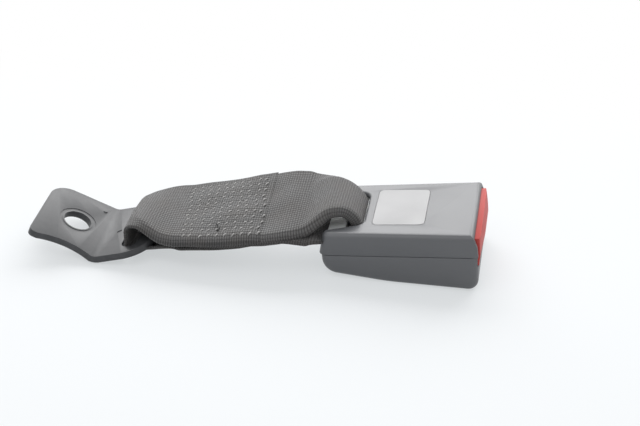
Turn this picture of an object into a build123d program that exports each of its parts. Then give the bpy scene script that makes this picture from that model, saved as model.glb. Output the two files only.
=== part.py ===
"""Rear seat belt buckle on a sewn webbing strap with a bent steel anchor plate.

Millimetres, +Z up, lying on its back.  The origin is the centre of the anchor
bolt hole, half way through the plate, and +X runs towards the red button.
Two frames are used.  The anchor plate and the strap are drawn in that frame.
The buckle is drawn in its own frame: x from the webbing end to the button,
y across, z up from a level close to the seam of the two covers.
"""
from build123d import *
from math import cos, pi, radians, sin
import os

# ---------------------------------------------------------------- clearances
RUNNING_GAP = 0.05      # radial, pins in their bores
SLIDE_GAP = 0.3         # mouldings that slide past each other
SEAT_GAP = 0.3          # pieces that lie in a moulded seat
LIP_GAP = 0.1           # seam lip in its rebate

# -------------------------------------------------------------- anchor plate
PLATE_T = 3.0
PLATE_WIDTH = 40.0
FLANGE_ANGLE = 22.6     # rise of the bolted flange, degrees
LEG_ANGLE = 14.8        # rise of the slotted leg, degrees
HOLE_TO_BEND = 14.0
FLANGE_LENGTH = 30.3
LEG_LENGTH = 25.3
BOLT_HOLE_R = 6.0
PLATE_BEND_R = 6.0
RING_R = 8.2            # coined ring round the bolt hole
RING_WIDTH = 1.5
RING_DEPTH = 0.25
PIP_R = 1.2             # raised pip on the flange
PIP_PLACE = (-8.8, -14.3)       # from the bolt hole, away from the bend and across
STOP_PLACE = (6.8, -0.4)        # raised stop on the leg, from the bend
STOP_SIZE = (3.0, 1.0)
STOP_ANGLE = 40.0
MARK_H = 0.4            # height of the pip and the stop
MARK_TAPER = 30.0
TIP_FAR_R = 9.0
TIP_NEAR_R = 2.5
LEG_END_R = 13.5
WAIST_LENGTH = 24.0     # shallow waist in the near edge beside the hole
WAIST_DEPTH = 2.6
SLOT_START = 11.0       # from the bend, along the leg
SLOT_WIDTH = 7.0
SLOT_LENGTH = 30.0

# --------------------------------------------------------------- strap
WEB_T = 1.4
WEB_WIDTH = 47.0
# the band's middle line in the part's XZ plane, from its hidden inner end round the
# frame's bar, back underneath, round the plate's bar and forward to the sewn end
STRAP_LINE = [
    (45.9, 5.2), (93.9, 14.1), (107.4, 20.0), (122.8, 21.0), (122.8, 6.6), (110.4, 5.5),
    (92.9, 12.2), (46.9, 3.67), (38.4, -1.9), (25.9, -5.15), (25.3, 3.2), (81.4, 13.6),
]
STRAP_BENDS = [30.0, 18.0, 6.0, 6.0, 20.0, 16.0, 16.0, 14.0, 2.2, 2.4]
STRAP_NEAR = [(18.0, -14.3), (30.0, -14.3), (46.0, -19.6), (68.0, -20.2), (92.0, -19.8),
              (108.0, -10.2), (118.0, -6.0), (127.0, -5.6)]
STRAP_FAR = [(18.0, 14.3), (29.0, 14.3), (44.0, 24.6), (64.0, 26.8), (90.0, 26.8),
             (107.0, 23.6), (117.0, 19.4), (127.0, 19.4)]

# --------------------------------------------------------------- buckle frame
BUCKLE_TILT = 5.616     # front raised, degrees
BUCKLE_REAR_X = 109.82  # origin of the buckle's own frame
BUCKLE_Y = 6.6
BUCKLE_SEAM_Z = 3.91

# --------------------------------------------------------------- covers
COVER_LENGTH = 63.2     # to the front edge of the top wall
REAR_WIDTH = 42.4
FRONT_WIDTH = 47.6
WIDTH_LENGTH = 64.2     # length over which the width grows
TOP_Z = 9.38
SEAM_Z = -0.6
UPPER_REAR_X = -1.5     # rear face of the upper cover at the seam
UPPER_REAR_LEAN = 2.5   # how far that face leans forward by its top
LOWER_REAR_X = -0.6
FRONT_STEP = (0.2, 4.0)         # set back and height of the bend in the side walls' front
COVER_WALL = 1.8
TOP_WALL = 2.0
SIDE_EDGE_R = 3.2       # rear corners and lower side edges
TOP_EDGE_R = 2.4
BOTTOM_REAR_Z = -9.45   # where the bottom line meets the rear face
BOTTOM_MID = (26.0, -14.0)      # slight bend of the bottom line
BOTTOM_FRONT = (64.1, -17.25)   # lowest corner, below the mouth
BOTTOM_BENDS = (7.0, 120.0, 4.2)
CHEEK_FRONT_X = 65.0    # front edge of the side walls at the seam
NOTCH_DEPTH = 16.8
NOTCH_REAR_HALF = 17.6
NOTCH_FRONT_HALF = 12.6
NOTCH_Y = 0.4
NOTCH_FLOOR_Z = -3.0
NOTCH_R = 4.0
NOTCH_LIP_R = 1.4       # rounding of its upper edge
NOTCH_RUNOUT = 5.0      # how far the cutting tool reaches behind the covers
SEAM_GROOVE = 0.3       # height and depth of the groove under the upper cover
LIP_T = 0.8             # seam lip of the lower cover
LIP_H = 1.4
LIP_REAR_X = 19.0
LIP_FRONT_X = 58.0
LABEL_START = 20.6
LABEL_LENGTH = 22.0
LABEL_WIDTH = 29.6
LABEL_Y = 1.1
LABEL_R = 2.4
LABEL_T = 0.3
LABEL_RECESS = 0.25

# --------------------------------------------------------------- steel frame
FRAME_T = 2.5
FRAME_HALF = 18.0
BAR_REAR_X = 2.1
BAR_WIDTH = 7.2
WEB_SLOT_CORNER_R = 2.4
WEB_SLOT_X = 16.2       # front edge of the webbing slot
WEB_SLOT_HALF = 14.2
RAMP_TOP_X = 17.4
RAMP_FOOT_X = 28.4
BASE_TOP_Z = -9.35
FRAME_FRONT_GAP = 2.6   # from the base plate's front edge to the cover's front wall
CHEEK_TOP_Z = 6.9
FRAME_BEND_R = 3.0
CHEEK_FOOT_Z = -6.3     # side outline of the cheeks, from the foot of the front edge
CHEEK_SHOULDER = (55.0, -5.9)
CHEEK_NECK = (47.6, 4.6)
CHEEK_TOP_FRONT_X = 46.0
CHEEK_TOP_REAR_X = 31.5
CHEEK_REAR = (22.9, -2.2)
CHEEK_SET_BACK = 1.0    # of the cheeks and the rails from the base plate's front edge
WINDOW_GAP = 0.5        # round the tooth
RIB_STARTS = (35.2, 51.2)       # ribs under the base plate
RIB_T = 1.5
RIB_HALF = 17.0
RIB_HEIGHTS = (2.2, 3.6)
TAB_T = 1.5             # tab behind the lock spring
TAB_HALF = 3.0
TAB_FRONT_X = 21.1

# --------------------------------------------------------------- tongue path
TONGUE_T = 3.0
TONGUE_WIDTH = 24.8
TONGUE_GAP = 0.35
GUIDE_LENGTH = 7.0
GUIDE_WALL = 1.5         # spring wall, and the rails' reach behind the roof
GUIDE_ROOF_T = 1.3
GUIDE_WINDOW_HALF = 5.5 # gap in the spring wall

# --------------------------------------------------------------- latch
PIVOT_X = 31.0
PIVOT_Z = -3.1
PIVOT_R = 1.5
LATCH_BARREL_R = 2.8
LATCH_SPRING_R = 2.2
LATCH_SWING_GAP = 2.4    # from the lowered tooth to the tongue guide
LATCH_WIRE = 0.32
LATCH_SPRING_LENGTH = 2.7
LATCH_SPRING_TURNS = 3
LATCH_SPRING_GAP = 0.4   # from the latch's side
LATCH_LEG_T = 1.4        # leg of the spring, in wire widths
LATCH_T = 3.0
LATCH_HALF = 11.0
LATCH_SWING = 21.0      # open angle with no tongue in the buckle
LATCH_FRONT = 15.6      # pivot to the front end of the latch
HUMP_GAP = 0.15         # from the hump to the lock pin
HUMP_END = 0.6          # the hump's front bevel, its top and its ramp, along the latch
HUMP_DROP = 0.9
HUMP_TOP = 2.8
HUMP_RAMP = 6.0
PIN_END = 0.2           # pivot pin past the cheek, under its head
HEAD_RIM = 0.6
HEAD_T = 0.7
TOOTH_LENGTH = 3.0
TOOTH_HALF = 5.0
TOOTH_TIP_Z = -10.4
LOCK_PIN_R = 2.0
LOCK_PIN_RISE = 6.6     # above the pivot
LOCK_REAR = 6.0         # pivot to the lock pin, unlatched
LOCK_TRAVEL = 6.0
LOCK_PIN_HALF = 19.4
LOCK_PIN_CHAMFER = 0.4
LOCK_SPRING_TURNS = 6
LOCK_WIRE = 0.25
LOCK_SPRING_R = 1.6
SLIDER_HALF = 2.8       # half height of the lock slider, and its reach before the pin
SLIDER_REACH = 7.0      # from the pin back to the crossbar's rear face
SLIDER_BAR = 2.0        # crossbar length

# --------------------------------------------------------------- ejector
EJECT_TRAVEL = 12.0
EJECT_BAR_X = 41.8
EJECT_BAR_LENGTH = 3.8
EJECT_FRONT_X = 50.0
EJECT_HALF = 11.2
EJECT_PRONG_IN = 6.1
EJECT_H = 2.9
EJECT_SPRING_Y = 8.6
EJECT_SPRING_R = 1.05
EJECT_SPRING_REAR_X = 29.4
EJECT_SPRING_TURNS = 12
EJECT_WIRE = 0.22
EJECT_LIFT = 0.15       # the slider above the base plate
EJECT_ROOF = 0.5        # wall over and before each spring's bay
EJECT_END = 1.5

# --------------------------------------------------------------- button
BUTTON_TRAVEL = 6.2
BUTTON_BULGE_X = 67.5   # nose of the face on the centre line
BUTTON_SIDE_X = 65.6    # and at its sides
BUTTON_NOSE_Z = 3.4
BUTTON_NOSE_R = 3.0
BUTTON_BROW_X = 66.0    # where the face meets the top
BUTTON_FOOT_X = 65.0
BUTTON_HOLLOW = (65.5, -2.0)    # point on the inward curve below the nose
BUTTON_TOP_Z = 7.0
BUTTON_BOTTOM_Z = -5.7
BUTTON_REAR_X = 54.0
BUTTON_INNER_X = 62.8
BUTTON_WALL = 1.5
BUTTON_EDGE_R = 2.4
ARM_IN = 18.3
ARM_OUT = 19.6
ARM_REAR_X = 39.6
ARM_BOTTOM_Z = -1.4
BUTTON_SPRING_R = 2.4
BUTTON_SPRING_Y = 10.5
BUTTON_SPRING_Z = 1.6
BUTTON_SPRING_TURNS = 6
BUTTON_WIRE = 0.35
SPIGOT_GAP = 0.9        # from the spring's outside to its spigot
SPIGOT_LENGTH = 3.0

# --------------------------------------------------------------- derived
BUCKLE = Plane(
    origin=(BUCKLE_REAR_X, BUCKLE_Y, BUCKLE_SEAM_Z),
    x_dir=(cos(radians(BUCKLE_TILT)), 0, sin(radians(BUCKLE_TILT))),
    z_dir=(-sin(radians(BUCKLE_TILT)), 0, cos(radians(BUCKLE_TILT))),
)
BEND = Vector(
    HOLE_TO_BEND * cos(radians(FLANGE_ANGLE)), 0, -HOLE_TO_BEND * sin(radians(FLANGE_ANGLE))
)
BAR_Z = TOP_Z - TOP_WALL - SEAT_GAP - FRAME_T / 2
BASE_Z = BASE_TOP_Z - FRAME_T / 2
TONGUE_ROOF_Z = BASE_TOP_Z + TONGUE_T + TONGUE_GAP
GUIDE_HALF = TONGUE_WIDTH / 2 + TONGUE_GAP
CHEEK_IN = FRAME_HALF - FRAME_T
BASE_FRONT_X = CHEEK_FRONT_X - COVER_WALL - FRAME_FRONT_GAP
GUIDE_REAR_X = PIVOT_X + LATCH_FRONT + LATCH_SWING_GAP
LOCK_PIN_X = PIVOT_X + LOCK_REAR
LOCK_PIN_Z = PIVOT_Z + LOCK_PIN_RISE
EJECT_Z = BASE_TOP_Z + EJECT_LIFT
EJECT_BAY_FRONT_X = EJECT_FRONT_X - EJECT_END
OVERSIZE = 60.0         # reach of cutting tools past the part
PAST = 2.0              # the same where they must stop inside it
COIL_STEPS = 8          # straight runs in one turn of a spring


def half_width(x):
    """Outer half width of the covers at x."""
    return (REAR_WIDTH + (FRONT_WIDTH - REAR_WIDTH) * x / WIDTH_LENGTH) / 2


def level(z):
    """Plan plane of the buckle at height z."""
    return BUCKLE.offset(z)


def side(y=0.0):
    """Side-view plane of the buckle: x forward, y up, normal towards -Y."""
    return Plane(
        origin=BUCKLE.from_local_coords((0, y, 0)), x_dir=BUCKLE.x_dir, z_dir=-BUCKLE.y_dir
    )


def across(x, y=0.0, z=0.0):
    """Cross-section plane of the buckle at x, normal towards the button."""
    return Plane(
        origin=BUCKLE.from_local_coords((x, y, z)), x_dir=BUCKLE.y_dir, z_dir=BUCKLE.x_dir
    )


def slab(x0, x1, y0, y1, z0, z1, mode=Mode.ADD):
    """Rectangular block in the buckle's frame, for the part that is open."""
    with BuildSketch(level(z0)) as plan:
        with Locations(((x0 + x1) / 2, (y0 + y1) / 2)):
            Rectangle(x1 - x0, y1 - y0)
    extrude(plan.sketch, amount=z1 - z0, mode=mode)


def both_sides(x0, x1, y0, y1, z0, z1, mode=Mode.ADD):
    """The same block on the left and on the right."""
    slab(x0, x1, y0, y1, z0, z1, mode)
    slab(x0, x1, -y1, -y0, z0, z1, mode)


def cover_plan(inset, rear_x, front_x=CHEEK_FRONT_X + PAST, corner_r=0.0, mode=Mode.ADD):
    """Tapered plan outline of the covers, inset from the outer face."""
    rear = half_width(rear_x) - inset
    front = half_width(front_x) - inset
    with BuildSketch() as plan:
        Polygon((rear_x, -rear), (front_x, -front), (front_x, front), (rear_x, rear), align=None)
        if corner_r:
            fillet(plan.vertices().sort_by(Axis.X)[:2], corner_r)
    add(plan.sketch, mode=mode)


def coil(plane, radius, wire, length, turns):
    """Coil spring of square wire along the plane's normal."""
    steps = round(turns * COIL_STEPS)
    points = [
        plane.from_local_coords((
            radius * cos(2 * pi * k / COIL_STEPS), radius * sin(2 * pi * k / COIL_STEPS),
            length * k / steps,
        ))
        for k in range(steps + 1)
    ]
    with BuildPart() as spring:
        with BuildLine():
            Polyline(*points)
        with BuildSketch(Plane(origin=points[0], z_dir=points[1] - points[0])):
            RegularPolygon(wire, 4)
        sweep(transition=Transition.RIGHT)
    return spring


def finish(part, node):
    """Label a finished piece and write its file."""
    part.part.label = node
    export_step(part.part, f"parts/{node}.step")


# =============================================================== anchor plate
def leg_plane(along=0.0, up=0.0):
    """Plane on the slotted leg, x along the leg from the bend."""
    tilt = radians(LEG_ANGLE)
    leg = Vector(cos(tilt), 0, sin(tilt))
    normal = Vector(-sin(tilt), 0, cos(tilt))
    return Plane(origin=BEND + leg * along + normal * up, x_dir=leg, z_dir=normal)


def flange_plane(up=0.0):
    """Plane on the bolted flange, centred on the bolt hole, x away from the bend."""
    tilt = radians(FLANGE_ANGLE)
    flange = Vector(-cos(tilt), 0, sin(tilt))
    normal = Vector(sin(tilt), 0, cos(tilt))
    return Plane(origin=normal * up, x_dir=flange, z_dir=normal)


def make_anchor_plate():
    """Bent strip with a bolt hole, a webbing slot and rounded ends."""
    tip_x = FLANGE_LENGTH - HOLE_TO_BEND
    flange_tip = flange_plane().from_local_coords((tip_x, 0, 0))
    leg_end = leg_plane(LEG_LENGTH).origin
    half = PLATE_WIDTH / 2
    with BuildPart() as plate:
        with BuildSketch(Plane.XZ):
            with BuildLine():
                FilletPolyline(
                    (flange_tip.X, flange_tip.Z), (BEND.X, BEND.Z), (leg_end.X, leg_end.Z),
                    radius=PLATE_BEND_R,
                )
            trace(line_width=PLATE_T)
        extrude(amount=half, both=True)
        leg_corners = plate.edges().filter_by(
            lambda e: abs(leg_plane().to_local_coords(e.center()).X - LEG_LENGTH) < 0.01
            and abs(abs(e.center().Y) - half) < 0.01
        )
        fillet(leg_corners, LEG_END_R)
        tip_corners = plate.edges().filter_by(
            lambda e: abs(flange_plane().to_local_coords(e.center()).X - tip_x) < 0.01
            and abs(abs(e.center().Y) - half) < 0.01
        )
        fillet(tip_corners.sort_by(Axis.Y)[-1], TIP_FAR_R)
        near_tip = plate.edges().filter_by(
            lambda e: abs(flange_plane().to_local_coords(e.center()).X - tip_x) < 0.01
            and abs(e.center().Y + half) < 0.01
        )
        fillet(near_tip, TIP_NEAR_R)
        # webbing slot
        with BuildSketch(leg_plane(SLOT_START + SLOT_WIDTH / 2, -PLATE_T)):
            SlotOverall(SLOT_LENGTH, SLOT_WIDTH, rotation=90)
        extrude(amount=2 * PLATE_T, mode=Mode.SUBTRACT)
        # bolt hole and the coined ring round it
        with BuildSketch(flange_plane(-PLATE_T)):
            Circle(BOLT_HOLE_R)
        extrude(amount=2 * PLATE_T, mode=Mode.SUBTRACT)
        with BuildSketch(flange_plane(PLATE_T / 2 - RING_DEPTH)):
            Circle(RING_R)
            Circle(RING_R - RING_WIDTH, mode=Mode.SUBTRACT)
        extrude(amount=PLATE_T, mode=Mode.SUBTRACT)
        # shallow waist in the near edge beside the hole
        waist_r = ((WAIST_LENGTH / 2) ** 2 + WAIST_DEPTH**2) / (2 * WAIST_DEPTH)
        with BuildSketch(flange_plane(-PLATE_T)):
            with Locations((0, half + waist_r - WAIST_DEPTH)):
                Circle(waist_r)
        extrude(amount=2 * PLATE_T, mode=Mode.SUBTRACT)
        # raised pip and stop
        with BuildSketch(flange_plane(PLATE_T / 2 - MARK_H)):
            with Locations(PIP_PLACE):
                Circle(PIP_R)
        extrude(amount=2 * MARK_H, taper=MARK_TAPER)
        with BuildSketch(leg_plane(0, PLATE_T / 2 - MARK_H)):
            with Locations(STOP_PLACE):
                SlotOverall(*STOP_SIZE, rotation=STOP_ANGLE)
        extrude(amount=2 * MARK_H, taper=MARK_TAPER)
    finish(plate, "anchor_plate")
    return plate


# =============================================================== webbing strap
def make_webbing_strap():
    """One band of webbing, lapped on top and looped round both bars."""
    with BuildPart() as strap:
        with BuildSketch(Plane.XZ):
            with BuildLine():
                FilletPolyline(*STRAP_LINE, radius=STRAP_BENDS)
            trace(line_width=WEB_T)
        extrude(amount=WEB_WIDTH, both=True)
        with BuildSketch(Plane.XY.offset(-OVERSIZE)):
            with BuildLine():
                Spline(*STRAP_NEAR)
                Spline(*STRAP_FAR)
                Line(STRAP_NEAR[0], STRAP_FAR[0])
                Line(STRAP_NEAR[-1], STRAP_FAR[-1])
            make_face()
        extrude(amount=2 * OVERSIZE, mode=Mode.INTERSECT)
    finish(strap, "webbing_strap")
    return strap


# =============================================================== covers
def notch_cut(z0, z1):
    """Opening in the rear of the covers that the webbing goes through."""
    with BuildSketch(level(z0)) as notch:
        flare = (NOTCH_REAR_HALF - NOTCH_FRONT_HALF) * NOTCH_RUNOUT / NOTCH_DEPTH
        rear, front = NOTCH_REAR_HALF + flare, NOTCH_FRONT_HALF
        Polygon(
            (-NOTCH_RUNOUT, NOTCH_Y - rear), (NOTCH_DEPTH, NOTCH_Y - front),
            (NOTCH_DEPTH, NOTCH_Y + front), (-NOTCH_RUNOUT, NOTCH_Y + rear), align=None,
        )
        fillet(notch.vertices().sort_by(Axis.X)[-2:], NOTCH_R)
    extrude(notch.sketch, amount=z1 - z0, mode=Mode.SUBTRACT)


def lip_strip(sign, thickness, start, end):
    """Plan strip along one side wall, measured outwards from its inner face."""
    rear = half_width(start) - COVER_WALL
    front = half_width(end) - COVER_WALL
    Polygon(
        (start, sign * rear), (end, sign * front), (end, sign * (front + thickness)),
        (start, sign * (rear + thickness)), align=None,
    )


def cover_side(top):
    """Side outline of the curved cover, carried up to the height top."""
    with BuildLine() as outline:
        FilletPolyline(
            (LOWER_REAR_X, top), (LOWER_REAR_X, BOTTOM_REAR_Z), BOTTOM_MID, BOTTOM_FRONT,
            (CHEEK_FRONT_X, top), radius=BOTTOM_BENDS,
        )
        Line((CHEEK_FRONT_X, top), (LOWER_REAR_X, top))
    make_face(outline.edges())


def make_upper_cover():
    """Label-side cover: flat top, open front, webbing notch in the rear."""
    step_back, step_z = FRONT_STEP
    roof_z = TOP_Z - TOP_WALL
    with BuildPart() as cover:
        with BuildSketch(side()):
            Polygon(
                (UPPER_REAR_X, SEAM_Z), (UPPER_REAR_X + UPPER_REAR_LEAN, TOP_Z),
                (COVER_LENGTH, TOP_Z), (CHEEK_FRONT_X - step_back, step_z),
                (CHEEK_FRONT_X, SEAM_Z), align=None,
            )
        extrude(amount=FRONT_WIDTH, both=True)
        with BuildSketch(level(SEAM_Z)):
            cover_plan(0, UPPER_REAR_X)
        extrude(amount=TOP_Z - SEAM_Z, mode=Mode.INTERSECT)
        rear_corners = cover.edges().filter_by(
            lambda e: BUCKLE.to_local_coords(e @ 0.5).X < UPPER_REAR_LEAN
            and abs((e % 0.5).dot(BUCKLE.z_dir)) > 0.9
        )
        fillet(rear_corners, SIDE_EDGE_R)
        top_face = cover.faces().filter_by(
            lambda f: f.geom_type == GeomType.PLANE and f.normal_at().dot(BUCKLE.z_dir) > 0.999
        )[0]
        fillet(top_face.edges(), TOP_EDGE_R)
        with BuildSketch(level(SEAM_Z)):
            cover_plan(COVER_WALL, BAR_REAR_X - SEAT_GAP)
        extrude(amount=roof_z - SEAM_Z, mode=Mode.SUBTRACT)
        notch_cut(SEAM_Z, TOP_Z)
        notch_edges = cover.edges().filter_by(
            lambda e: abs(BUCKLE.to_local_coords(e @ 0.5).Z - TOP_Z) < 0.01
            and 2 * TOP_EDGE_R < BUCKLE.to_local_coords(e @ 0.5).X < NOTCH_DEPTH + 0.01
            and abs(BUCKLE.to_local_coords(e @ 0.5).Y - NOTCH_Y) < NOTCH_REAR_HALF
        )
        fillet(notch_edges, NOTCH_LIP_R)
        with BuildSketch(level(TOP_Z - LABEL_RECESS)):
            with Locations((LABEL_START + LABEL_LENGTH / 2, LABEL_Y)):
                RectangleRounded(LABEL_LENGTH, LABEL_WIDTH, LABEL_R)
        extrude(amount=PAST, mode=Mode.SUBTRACT)
        # rebate for the lower cover's seam lip
        with BuildSketch(level(SEAM_Z)):
            for sign in (1, -1):
                lip_strip(sign, LIP_T + LIP_GAP, LIP_REAR_X - 2 * LIP_GAP, LIP_FRONT_X + 2 * LIP_GAP)
        extrude(amount=LIP_H + LIP_GAP, mode=Mode.SUBTRACT)
    finish(cover, "upper_cover")
    return cover


def make_lower_cover():
    """Curved shell that carries the frame, with the mouth for the tongue."""
    with BuildPart() as hollow:
        with BuildSketch(side()):
            cover_side(TOP_Z)
            offset(amount=-COVER_WALL, kind=Kind.INTERSECTION)
        extrude(amount=FRONT_WIDTH, both=True)
        with BuildSketch(level(-OVERSIZE)):
            cover_plan(COVER_WALL, LOWER_REAR_X)
        extrude(amount=2 * OVERSIZE, mode=Mode.INTERSECT)
    inner_front = half_width(CHEEK_FRONT_X - COVER_WALL) - COVER_WALL
    mouth_half = GUIDE_HALF + SLIDE_GAP
    rib_top = BASE_TOP_Z - FRAME_T - SEAT_GAP
    groove_z = SEAM_Z - SEAM_GROOVE
    with BuildPart() as cover:
        with BuildSketch(side()):
            cover_side(SEAM_Z)
        extrude(amount=FRONT_WIDTH, both=True)
        with BuildSketch(level(-OVERSIZE)):
            cover_plan(0, LOWER_REAR_X)
        extrude(amount=2 * OVERSIZE, mode=Mode.INTERSECT)
        lower_edges = cover.edges().filter_by(
            lambda e: abs(BUCKLE.to_local_coords(e @ 0.5).Y)
            > half_width(BUCKLE.to_local_coords(e @ 0.5).X) - 0.05
            and BUCKLE.to_local_coords(e @ 0.5).Z < BOTTOM_REAR_Z / 2
            and BUCKLE.to_local_coords(e @ 0.5).X < CHEEK_FRONT_X - PAST
        )
        fillet(lower_edges, SIDE_EDGE_R)
        add(hollow.part, mode=Mode.SUBTRACT)
        # mouth: opening for the button, and a lower one for the tongue
        slab(CHEEK_FRONT_X - 4 * COVER_WALL, CHEEK_FRONT_X + PAST, -inner_front, inner_front,
             TONGUE_ROOF_Z, PAST, Mode.SUBTRACT)
        slab(CHEEK_FRONT_X - 4 * COVER_WALL, CHEEK_FRONT_X + PAST, -mouth_half, mouth_half,
             BASE_TOP_Z - RUNNING_GAP, PAST, Mode.SUBTRACT)
        notch_cut(NOTCH_FLOOR_Z, SEAM_Z)
        # groove that shows as the dark line of the seam
        with BuildSketch(level(groove_z)):
            Rectangle(4 * OVERSIZE, 4 * OVERSIZE)
            cover_plan(SEAM_GROOVE, LOWER_REAR_X + SEAM_GROOVE, CHEEK_FRONT_X + PAST,
                       SIDE_EDGE_R - SEAM_GROOVE, Mode.SUBTRACT)
        extrude(amount=SEAM_GROOVE, mode=Mode.SUBTRACT)
        # ribs that the frame lies on
        for start, height in zip(RIB_STARTS, RIB_HEIGHTS):
            slab(start, start + RIB_T, -RIB_HALF, RIB_HALF, rib_top - height, rib_top)
        with BuildSketch(level(SEAM_Z - PAST)):
            for sign in (1, -1):
                lip_strip(sign, LIP_T, LIP_REAR_X, LIP_FRONT_X)
        extrude(amount=LIP_H + PAST)
    finish(cover, "lower_cover")
    return cover


def make_rating_label():
    """Blank label in the recess of the upper cover."""
    with BuildPart() as label:
        with BuildSketch(level(TOP_Z - LABEL_RECESS)):
            with Locations((LABEL_START + LABEL_LENGTH / 2, LABEL_Y)):
                RectangleRounded(LABEL_LENGTH - SEAT_GAP, LABEL_WIDTH - SEAT_GAP,
                                 LABEL_R - SEAT_GAP / 2)
        extrude(amount=LABEL_T)
    finish(label, "rating_label")
    return label


# =============================================================== steel frame
def make_base_frame():
    """Folded steel frame: webbing bar, ramp, base plate and two cheeks."""
    bar_front = BAR_REAR_X + BAR_WIDTH
    cheek_front = BASE_FRONT_X - CHEEK_SET_BACK
    window_half = TOOTH_HALF + WINDOW_GAP
    with BuildPart() as frame:
        with BuildSketch(side()):
            with BuildLine():
                FilletPolyline(
                    (BAR_REAR_X, BAR_Z), (RAMP_TOP_X, BAR_Z), (RAMP_FOOT_X, BASE_Z),
                    (BASE_FRONT_X, BASE_Z), radius=FRAME_BEND_R,
                )
            trace(line_width=FRAME_T)
        extrude(amount=FRAME_HALF, both=True)
        for y in (-CHEEK_IN, FRAME_HALF):
            with BuildSketch(side(y)):
                Polygon(
                    (RAMP_FOOT_X, BASE_Z), (cheek_front, BASE_Z), (cheek_front, CHEEK_FOOT_Z),
                    CHEEK_SHOULDER, CHEEK_NECK, (CHEEK_TOP_FRONT_X, CHEEK_TOP_Z),
                    (CHEEK_TOP_REAR_X, CHEEK_TOP_Z), CHEEK_REAR, align=None,
                )
            extrude(amount=FRAME_T)
        # slots for the lock pin and holes for the latch pivot, through both cheeks
        with BuildSketch(side()):
            with Locations((LOCK_PIN_X + LOCK_TRAVEL / 2, LOCK_PIN_Z)):
                SlotCenterToCenter(LOCK_TRAVEL + 2 * LIP_GAP, 2 * (LOCK_PIN_R + RUNNING_GAP))
            with Locations((PIVOT_X, PIVOT_Z)):
                Circle(PIVOT_R + RUNNING_GAP)
        extrude(amount=OVERSIZE, both=True, mode=Mode.SUBTRACT)
        # webbing slot behind the bar
        with BuildSketch(level(BAR_Z - FRAME_T)):
            with Locations(((bar_front + WEB_SLOT_X) / 2, 0)):
                RectangleRounded(WEB_SLOT_X - bar_front, 2 * WEB_SLOT_HALF, WEB_SLOT_CORNER_R)
        extrude(amount=2 * FRAME_T, mode=Mode.SUBTRACT)
        # window for the latch's tooth
        slab(PIVOT_X + LATCH_FRONT - TOOTH_LENGTH - WINDOW_GAP,
             PIVOT_X + LATCH_FRONT + 1.5 * WINDOW_GAP, -window_half, window_half,
             BASE_Z - FRAME_T, BASE_Z + FRAME_T, Mode.SUBTRACT)
        # tab that the lock spring pushes against
        slab(TAB_FRONT_X - TAB_T, TAB_FRONT_X, -TAB_HALF, TAB_HALF, LOCK_PIN_Z - TAB_T,
             LOCK_PIN_Z + SLIDER_HALF)
    finish(frame, "base_frame")
    return frame


def make_tongue_guide():
    """Moulding that forms the roof and sides of the tongue's path."""
    with BuildPart() as guide:
        slab(GUIDE_REAR_X, GUIDE_REAR_X + GUIDE_LENGTH, -CHEEK_IN + SLIDE_GAP,
             CHEEK_IN - SLIDE_GAP, TONGUE_ROOF_Z, TONGUE_ROOF_Z + GUIDE_ROOF_T)
        both_sides(GUIDE_REAR_X - GUIDE_WALL, BASE_FRONT_X - CHEEK_SET_BACK, GUIDE_HALF,
                   CHEEK_IN - SLIDE_GAP, BASE_TOP_Z, TONGUE_ROOF_Z)
        both_sides(GUIDE_REAR_X, GUIDE_REAR_X + GUIDE_WALL, GUIDE_WINDOW_HALF, CHEEK_IN - SLIDE_GAP,
                   TONGUE_ROOF_Z, BUTTON_SPRING_Z + BUTTON_SPRING_R + SPIGOT_GAP)
        for y in (-BUTTON_SPRING_Y, BUTTON_SPRING_Y):
            with BuildSketch(across(GUIDE_REAR_X + GUIDE_WALL, y, BUTTON_SPRING_Z)):
                Circle(BUTTON_SPRING_R - SPIGOT_GAP)
            extrude(amount=SPIGOT_LENGTH)
    finish(guide, "tongue_guide")
    return guide


# =============================================================== latch
def latch_plane(swing=LATCH_SWING):
    """Side-view plane through the latch pivot, turned up by swing degrees."""
    turn = radians(swing)
    forward = BUCKLE.x_dir * cos(turn) + BUCKLE.z_dir * sin(turn)
    return Plane(
        origin=BUCKLE.from_local_coords((PIVOT_X, 0, PIVOT_Z)), x_dir=forward,
        z_dir=-BUCKLE.y_dir,
    )


def make_latch_plate():
    """Pivoting latch with its tooth and the hump that the lock pin slides over."""
    hump = LOCK_PIN_RISE - LOCK_PIN_R - HUMP_GAP
    half_t = LATCH_T / 2
    with BuildPart() as latch:
        with BuildSketch(latch_plane()):
            Circle(LATCH_BARREL_R)
            Polygon(
                (0, -half_t), (LATCH_FRONT, -half_t), (LATCH_FRONT, hump - HUMP_DROP),
                (LATCH_FRONT - HUMP_END, hump), (LATCH_FRONT - HUMP_TOP, hump),
                (LATCH_FRONT - HUMP_RAMP, half_t), (0, half_t), align=None,
            )
        extrude(amount=LATCH_HALF, both=True)
        with BuildSketch(latch_plane()):
            with Locations((LATCH_FRONT - TOOTH_LENGTH / 2, (TOOTH_TIP_Z - PIVOT_Z) / 2)):
                Rectangle(TOOTH_LENGTH, PIVOT_Z - TOOTH_TIP_Z)
        extrude(amount=TOOTH_HALF, both=True)
        with BuildSketch(latch_plane()):
            Circle(PIVOT_R + RUNNING_GAP)
        extrude(amount=LATCH_HALF, both=True, mode=Mode.SUBTRACT)
    finish(latch, "latch_plate")
    return latch


def make_latch_pivot_pin():
    """Headed pin across both cheeks."""
    with BuildPart() as pin:
        with BuildSketch(latch_plane()):
            Circle(PIVOT_R)
        extrude(amount=FRAME_HALF + PIN_END, both=True)
        with BuildSketch(latch_plane().offset(FRAME_HALF + PIN_END / 2)):
            Circle(PIVOT_R + HEAD_RIM)
        extrude(amount=HEAD_T)
    finish(pin, "latch_pivot_pin")
    return pin


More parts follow.
